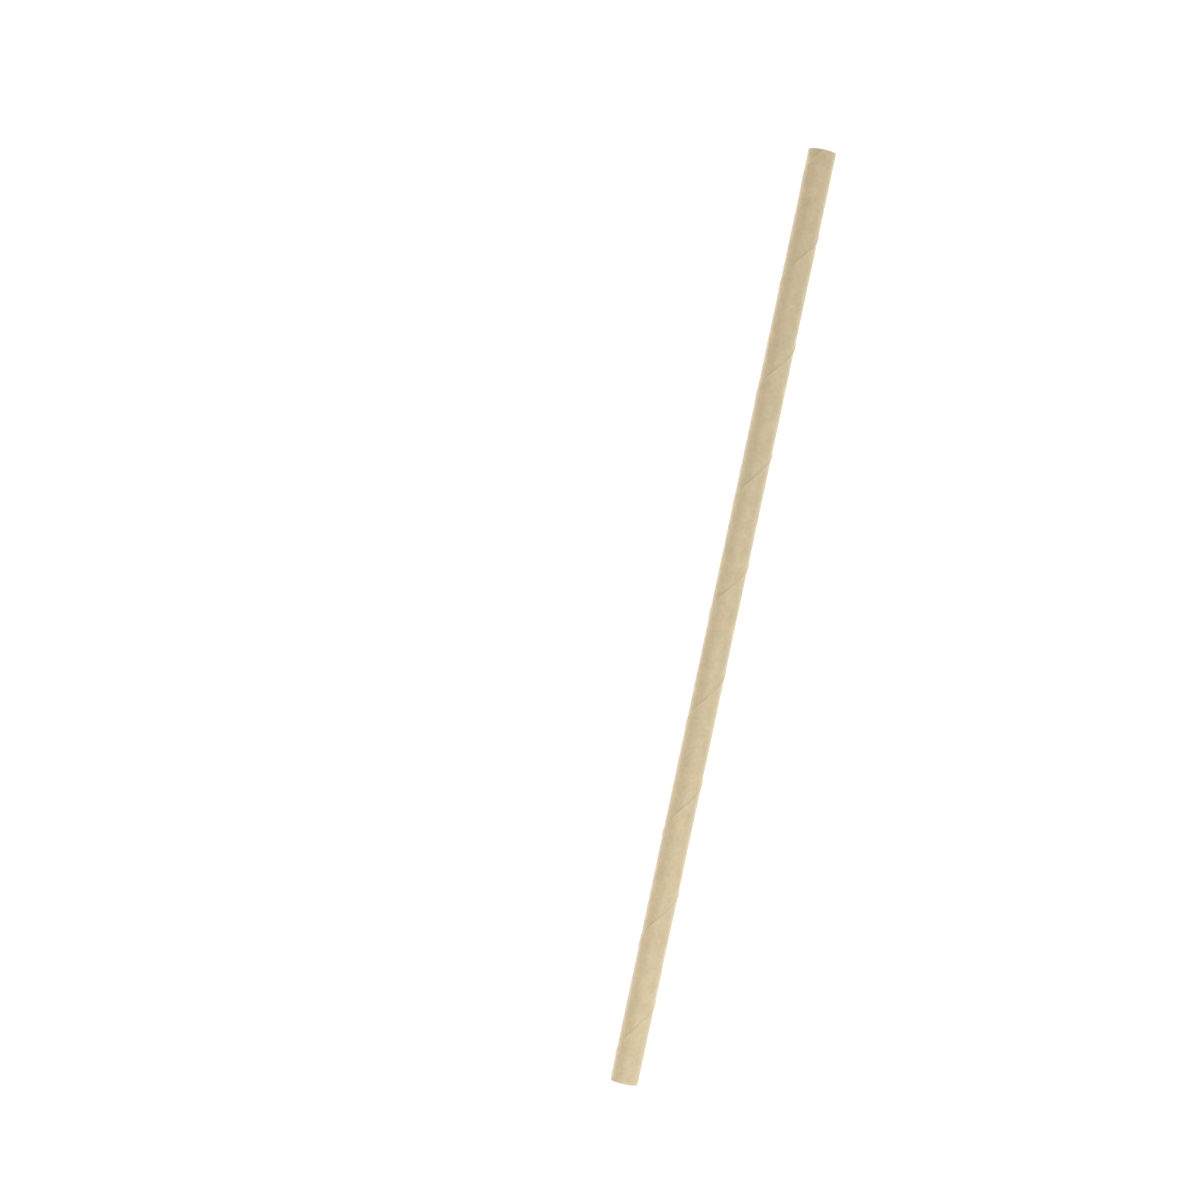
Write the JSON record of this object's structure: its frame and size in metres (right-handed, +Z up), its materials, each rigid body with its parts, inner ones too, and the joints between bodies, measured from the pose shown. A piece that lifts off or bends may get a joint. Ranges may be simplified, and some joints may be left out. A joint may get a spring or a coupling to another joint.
{
  "type": "paper drinking straw",
  "caption": "Bare kraft-paper drinking straw, a spiral-wound tube with a raised helical lap seam and square-cut open ends.",
  "frame": {"origin": "middle of the straw's length, on the surface that it lies on, below the tube's axis", "axes": "+Y along the tube's axis towards the end that points up in the picture, +Z up from the surface, +X across the straw"},
  "size_m": [0.006, 0.2, 0.006],
  "materials": {
    "kraft_paper": "matte"
  },
  "bodies": {
    "root": {"paper_tube": "kraft_paper"}
  },
  "joints": []
}
